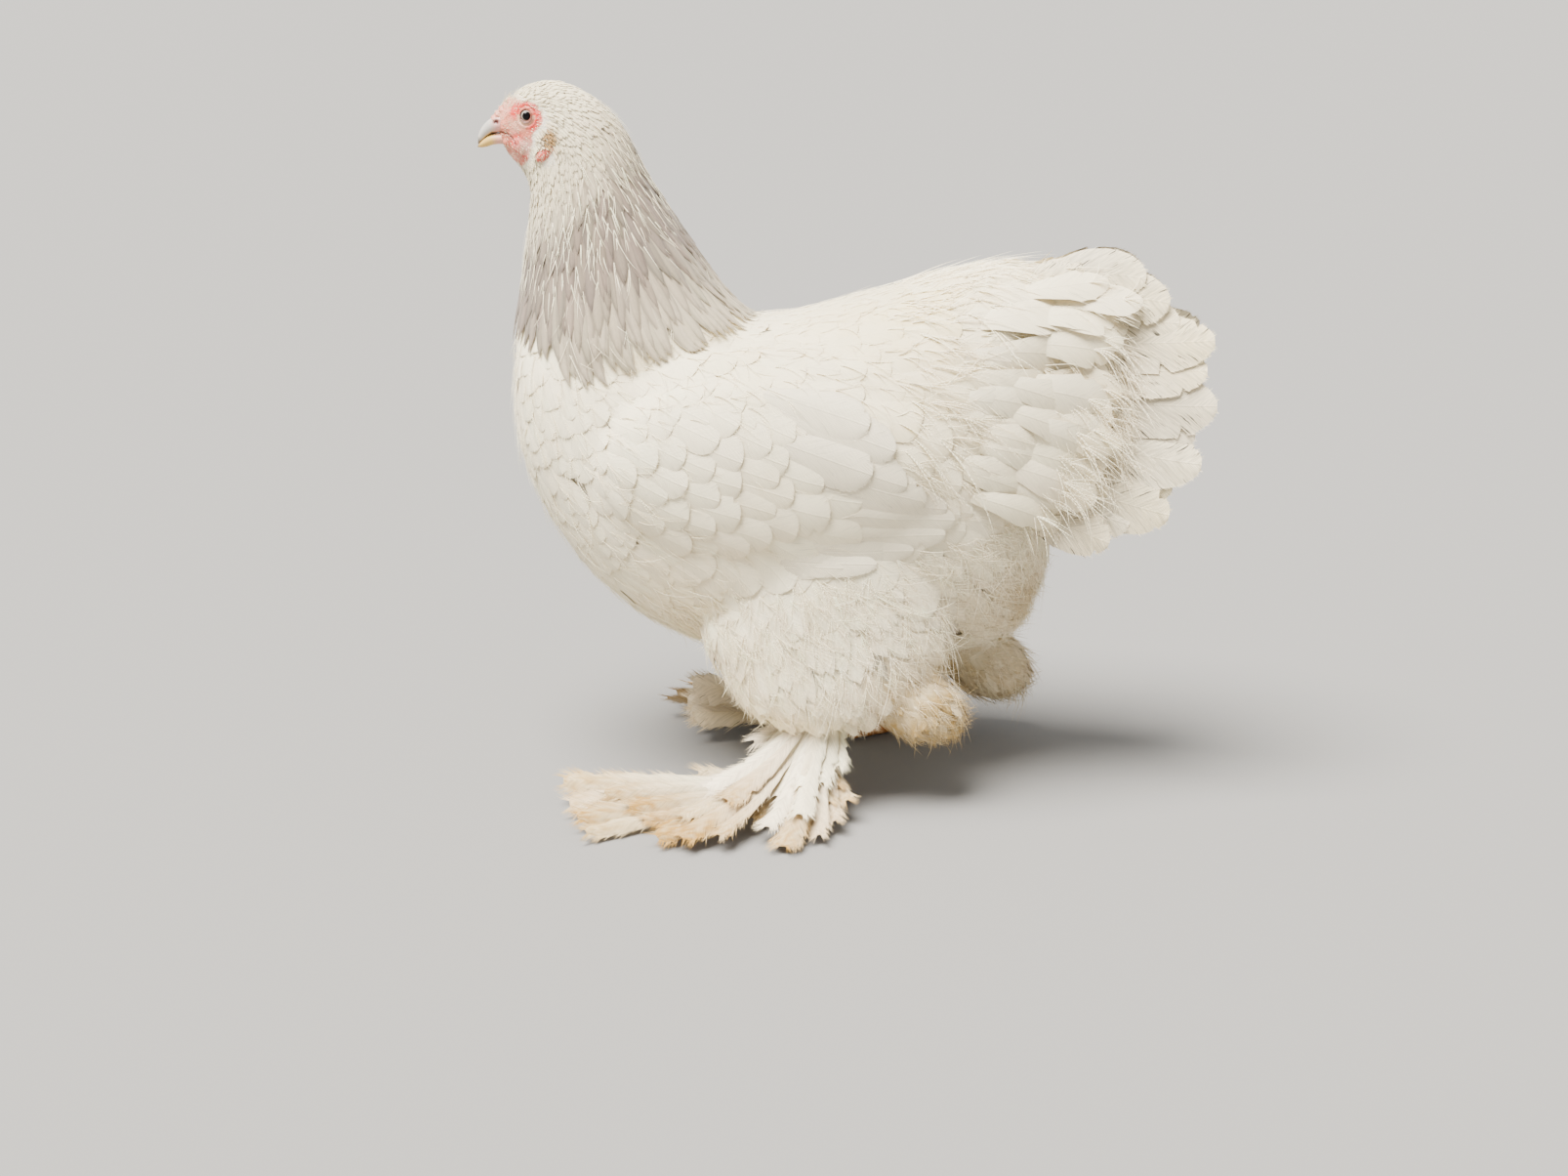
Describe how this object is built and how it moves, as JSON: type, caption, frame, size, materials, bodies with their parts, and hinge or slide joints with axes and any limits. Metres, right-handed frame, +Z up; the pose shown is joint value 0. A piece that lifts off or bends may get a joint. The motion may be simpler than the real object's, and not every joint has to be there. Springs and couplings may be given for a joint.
{
  "type": "life-size museum model of a brahma chicken, standing hen",
  "caption": "Still life-size model of a standing brahma hen with lavender hackle, pea comb, fanned tail and feathered feet.",
  "frame": {"origin": "middle of the bounding box at floor level", "axes": "+Z up; the hen looks along -X, so +X runs from beak to tail; its left side is -Y"},
  "size_m": [0.5644, 0.3912, 0.5346],
  "materials": {
    "torso": "soft white feather",
    "head": "soft white feather",
    "neck": "lavender-grey pointed feather",
    "tail": "soft white feather",
    "wing_left": "soft white feather",
    "wing_right": "soft white feather",
    "thigh_left": "soft white feather",
    "thigh_right": "soft white feather",
    "foot_left": "soft white feather",
    "foot_right": "soft white feather",
    "comb": "pink bare skin",
    "wattle_left": "pink bare skin",
    "wattle_right": "pink bare skin",
    "beak_upper": "horn, yellow at the tip",
    "beak_lower": "horn, yellow at the tip",
    "eye_left": "wet, dark pupil in a brown iris",
    "eye_right": "wet, dark pupil in a brown iris",
    "claw_left_middle": "pale horn",
    "claw_left_outer": "pale horn",
    "claw_left_inner": "pale horn",
    "claw_left_hind": "pale horn",
    "claw_right_middle": "pale horn",
    "claw_right_outer": "pale horn",
    "claw_right_inner": "pale horn",
    "claw_right_hind": "pale horn"
  },
  "bodies": {
    "root": {"torso": "torso", "head": "head", "neck": "neck", "tail": "tail", "wing_left": "wing_left", "wing_right": "wing_right", "thigh_left": "thigh_left", "thigh_right": "thigh_right", "foot_left": "foot_left", "foot_right": "foot_right", "comb": "comb", "wattle_left": "wattle_left", "wattle_right": "wattle_right", "beak_upper": "beak_upper", "beak_lower": "beak_lower", "eye_left": "eye_left", "eye_right": "eye_right", "claw_left_middle": "claw_left_middle", "claw_left_outer": "claw_left_outer", "claw_left_inner": "claw_left_inner", "claw_left_hind": "claw_left_hind", "claw_right_middle": "claw_right_middle", "claw_right_outer": "claw_right_outer", "claw_right_inner": "claw_right_inner", "claw_right_hind": "claw_right_hind"}
  },
  "joints": []
}
